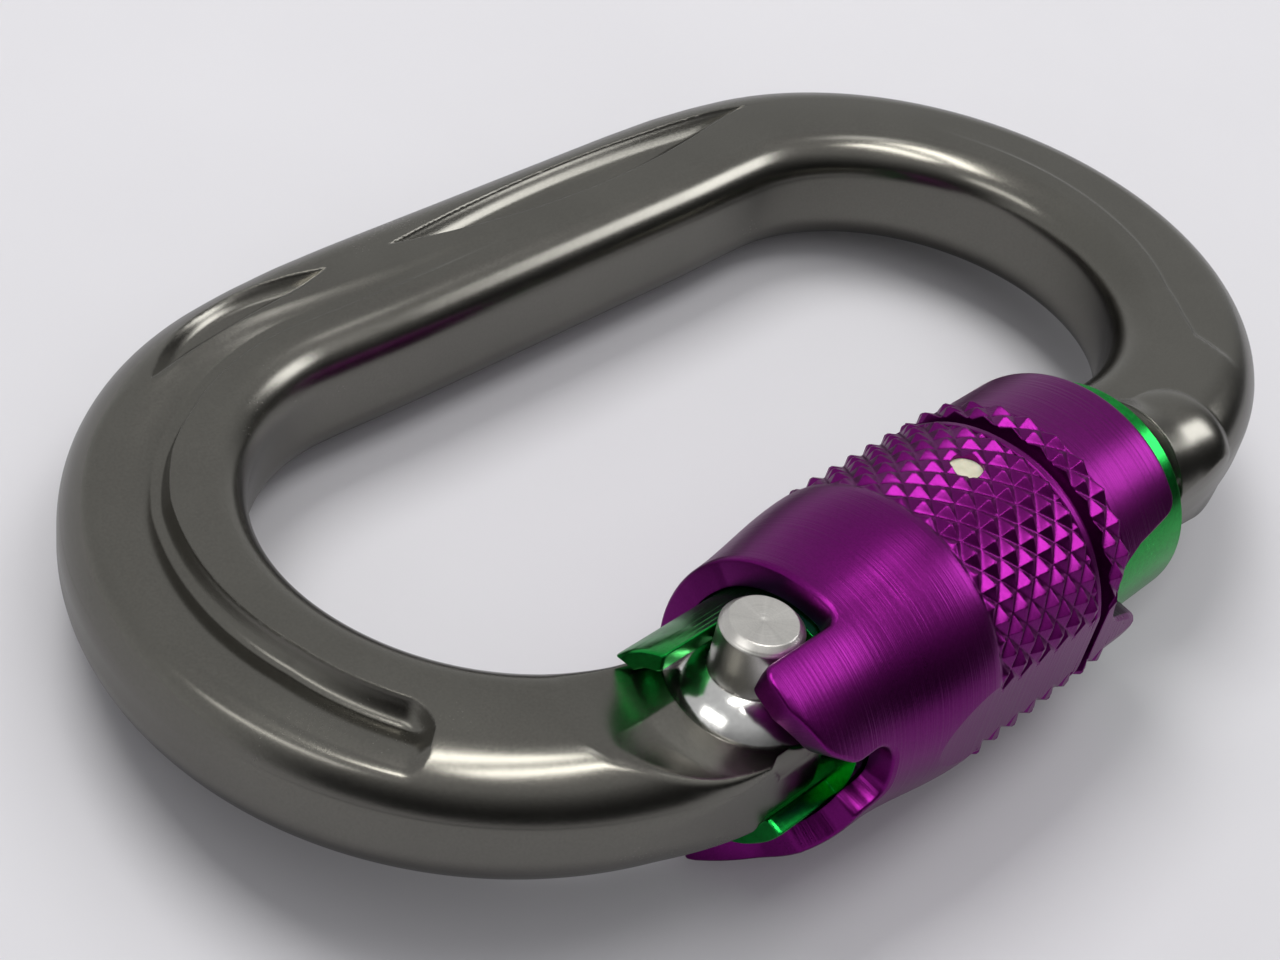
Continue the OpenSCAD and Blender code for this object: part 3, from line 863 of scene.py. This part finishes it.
def build_guard():
    """Collar behind the hinge with two thick tongues that reach past the pin."""
    ob = cad_copy("hinge_guard", "guard_body")
    lo, hi = mm("hinge_guard")
    # drop the plain tongues, keep the collar
    boolean(ob, box("cut", (lo[0] - 1, YG - 12, -12), (-20.72, YG + 12, 12)))
    tongue = [(2.82, 5.88)] + [(math.cos(a) * 6.52, math.sin(a) * 6.52) for a in np.linspace(math.radians(62), math.radians(41.5), 12)]
    tongue += [(math.cos(a) * 7.9, math.sin(a) * 7.9) for a in np.linspace(math.radians(33.5), math.radians(69.2), 22)]
    fl = fillet(tongue, [0.2] + [0] * 11 + [0.2, 0.25] + [0] * 20 + [0.28], 5)
    boolean(ob, extrude_x("tongue", fl, -29.9, -20.0, 0.22), "UNION")
    low = [(math.sin(math.radians(-p)) * 6.52, math.cos(math.radians(p)) * 6.52) for p in np.linspace(151, 113, 14)]
    low += [(math.sin(math.radians(-p)) * 7.9, math.cos(math.radians(p)) * 7.9) for p in np.linspace(112.4, 151.6, 20)]
    fl = fillet(low, [0.25] + [0] * 12 + [0.25, 0.25] + [0] * 18 + [0.25], 5)
    boolean(ob, extrude_x("tongue", fl, lo[0] + 4.4 if lo[0] < -30 else -26.0, -20.0, 0.2), "UNION")
    finish_mesh(ob, 24)
    return ob


# ---------------------------------------------------------------- pieces
body = build_frame()
paint(body, MAT["frame"])
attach(body, "frame")
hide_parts("frame")

sleeve = build_sleeve()
paint(sleeve, MAT["violet"])
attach(sleeve, "outer_sleeve")
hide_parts("outer_sleeve")

for builder, node_name, ridden, key, slot_name in ((build_gate, "gate", "gate", "gate", "gate_polished"),
                                                   (build_pin, "hinge_pin", "frame", "pin", "pin_steel"),
                                                   (build_guard, "hinge_guard", "gate", "green", "lock_green")):
    piece = builder()
    paint(piece, MAT[key])
    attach(piece, ridden)
    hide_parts(node_name)

for name, key in {"lock_sleeve": "green", "guard_pins": "steel",
                  "thrust_washer": "washer", "retaining_ring": "ring", "twist_spring": "spring", "gate_plunger": "steel",
                  "lift_spring_seat": "steel", "key_pin": "steel"}.items():
    paint(NODES[name], MAT[key])

# the two pushed springs are copied and ride along with the part that pushes them
for name, ridden, joint, end, travel in (("lift_spring", "lock_sleeve", "sleeve_lift", 1, 2.5), ("gate_spring", "gate", "plunger_slide", 1, 0.65)):
    coil = cad_copy(name, name + "_coil")
    paint(coil, MAT["spring"])
    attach(coil, ridden)
    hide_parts(name)
    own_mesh(coil)
paint(NODES["key_plug"], plug_material())

# ---------------------------------------------------------------- stage, light and camera
tilt = math.atan2(11.45 - T, RO + 4.0 - YG)
o = Vector((0, YG, -11.47)) * 0.001
u, w = Vector((1, 0, 0)), Vector((0, math.cos(tilt), math.sin(tilt)))
fv = [o + u * a + w * b for a, b in ((-0.7, -0.7), (0.7, -0.7), (0.7, 0.7), (-0.7, 0.7))]
fm = bpy.data.meshes.new("floor")
fm.from_pydata([tuple(v) for v in fv], [], [(0, 1, 2, 3)])
floor = bpy.data.objects.new("floor", fm)
bpy.context.scene.collection.objects.link(floor)
floor.data.materials.append(floor_material())


def area(name, loc, target, sx, sy, power, color=(1, 1, 1)):
    d = bpy.data.lights.new(name, "AREA")
    d.shape = "RECTANGLE"
    d.size, d.size_y, d.energy, d.color = sx, sy, power, color
    ob = bpy.data.objects.new(name, d)
    bpy.context.scene.collection.objects.link(ob)
    ob.location = loc
    z = (Vector(loc) - Vector(target)).normalized()
    x = Vector((1, 0, 0))
    x = (x - z * x.dot(z)).normalized()
    y = z.cross(x)
    ob.matrix_world = Matrix(((x.x, y.x, z.x, loc[0]), (x.y, y.y, z.y, loc[1]), (x.z, y.z, z.z, loc[2]), (0, 0, 0, 1)))
    return ob


def seen_by(ob, glossy, diffuse):
    ob.visible_glossy = glossy
    ob.visible_diffuse = diffuse


STRIPS = [area("strip_a", (-0.03, -0.03, 1.0), (-0.03, -0.03, 0), 0.62, 0.13, 2.5, (1, 0.985, 0.94)),
          area("strip_b", (-0.03, -0.34, 1.0), (-0.03, -0.02, 0), 0.62, 0.13, 2.5, (1, 0.985, 0.94)),
          area("soft_front", (1.32, -0.66, 1.0), (0.05, -0.01, 0), 0.45, 0.62, 4.8),
          area("soft_left", (-1.2, 0.12, 1.0), (-0.05, 0, 0), 0.25, 0.9, 2.0, (1, 0.99, 0.96)),
          area("spot_barrel", (0.50, 0.06, 1.0), (-0.01, -0.02, 0), 0.16, 0.2, 0.25)]
for ob in STRIPS:
    seen_by(ob, True, False)
seen_by(area("key_back", (0.05, 0.42, 0.95), (0, 0, 0), 0.55, 0.45, 5.6), False, True)
seen_by(area("fill_top", (0.45, -0.2, 1.1), (0.05, 0, 0), 0.9, 0.5, 3.4), False, True)

world = bpy.data.worlds.new("studio")
bpy.context.scene.world = world
world.use_nodes = True
wt = world.node_tree
wt.nodes.clear()
wo = wt.nodes.new("ShaderNodeOutputWorld")
bg = wt.nodes.new("ShaderNodeBackground")
geo = wt.nodes.new("ShaderNodeTexCoord")
sep = wt.nodes.new("ShaderNodeSeparateXYZ")
wt.links.new(geo.outputs["Generated"], sep.inputs[0])


def sky(stops):
    cr = wt.nodes.new("ShaderNodeValToRGB")
    el = cr.color_ramp.elements
    while len(el) < len(stops):
        el.new(0.5)
    for e, (p, c) in zip(el, stops):
        e.position = 0.5 + 0.5 * p
        e.color = (c, c, c, 1)
    mp = math_node(wt, "MULTIPLY_ADD", sep.outputs[2], 0.5, 0.5)
    wt.links.new(mp, cr.inputs[0])
    return cr.outputs[0]


front = sky([(-1, 0.08), (-0.1, 0.03), (0.0, 0.012), (0.22, 0.02), (0.38, 0.07), (0.55, 0.20), (0.68, 0.42), (1.0, 0.47)])
back = sky([(-1, 0.4), (-0.05, 0.6), (0.12, 0.55), (0.3, 0.46), (0.6, 0.45), (1.0, 0.47)])
side = wt.nodes.new("ShaderNodeMapRange")
side.interpolation_type = "SMOOTHSTEP"
side.inputs[1].default_value = -0.25
side.inputs[2].default_value = 0.3
wt.links.new(sep.outputs[1], side.inputs[0])


def mix_col(fac, a, b):
    mx = wt.nodes.new("ShaderNodeMix")
    mx.data_type = "RGBA"
    wt.links.new(fac, mx.inputs[0])
    for k, v in ((6, a), (7, b)):
        if isinstance(v, tuple):
            mx.inputs[k].default_value = v
        else:
            wt.links.new(v, mx.inputs[k])
    return mx.outputs[2]


lp = wt.nodes.new("ShaderNodeLightPath")
env = mix_col(side.outputs[0], front, back)
env = mix_col(lp.outputs["Is Diffuse Ray"], env, (0.43, 0.43, 0.445, 1))
env = mix_col(lp.outputs["Is Camera Ray"], env, (0.60, 0.59, 0.61, 1))
wt.links.new(env, bg.inputs[0])
wt.links.new(bg.outputs[0], wo.inputs[0])

cam_d = bpy.data.cameras.new("camera")
cam = bpy.data.objects.new("camera", cam_d)
bpy.context.scene.collection.objects.link(cam)
right = Vector((0.683701, -0.710184, 0.167906))
down = Vector((-0.372014, -0.537125, -0.757035))
ahead = Vector((0.627821, 0.455122, -0.631431))
cam.matrix_world = Matrix(((right.x, -down.x, -ahead.x, -0.114081), (right.y, -down.y, -ahead.y, -0.076938),
                           (right.z, -down.z, -ahead.z, 0.103453), (0, 0, 0, 1)))
cam_d.sensor_fit = "HORIZONTAL"
cam_d.sensor_width = 36
cam_d.lens = 61.47
cam_d.clip_start = 0.005
bpy.context.scene.camera = cam
bpy.context.scene.view_settings.view_transform = "Standard"
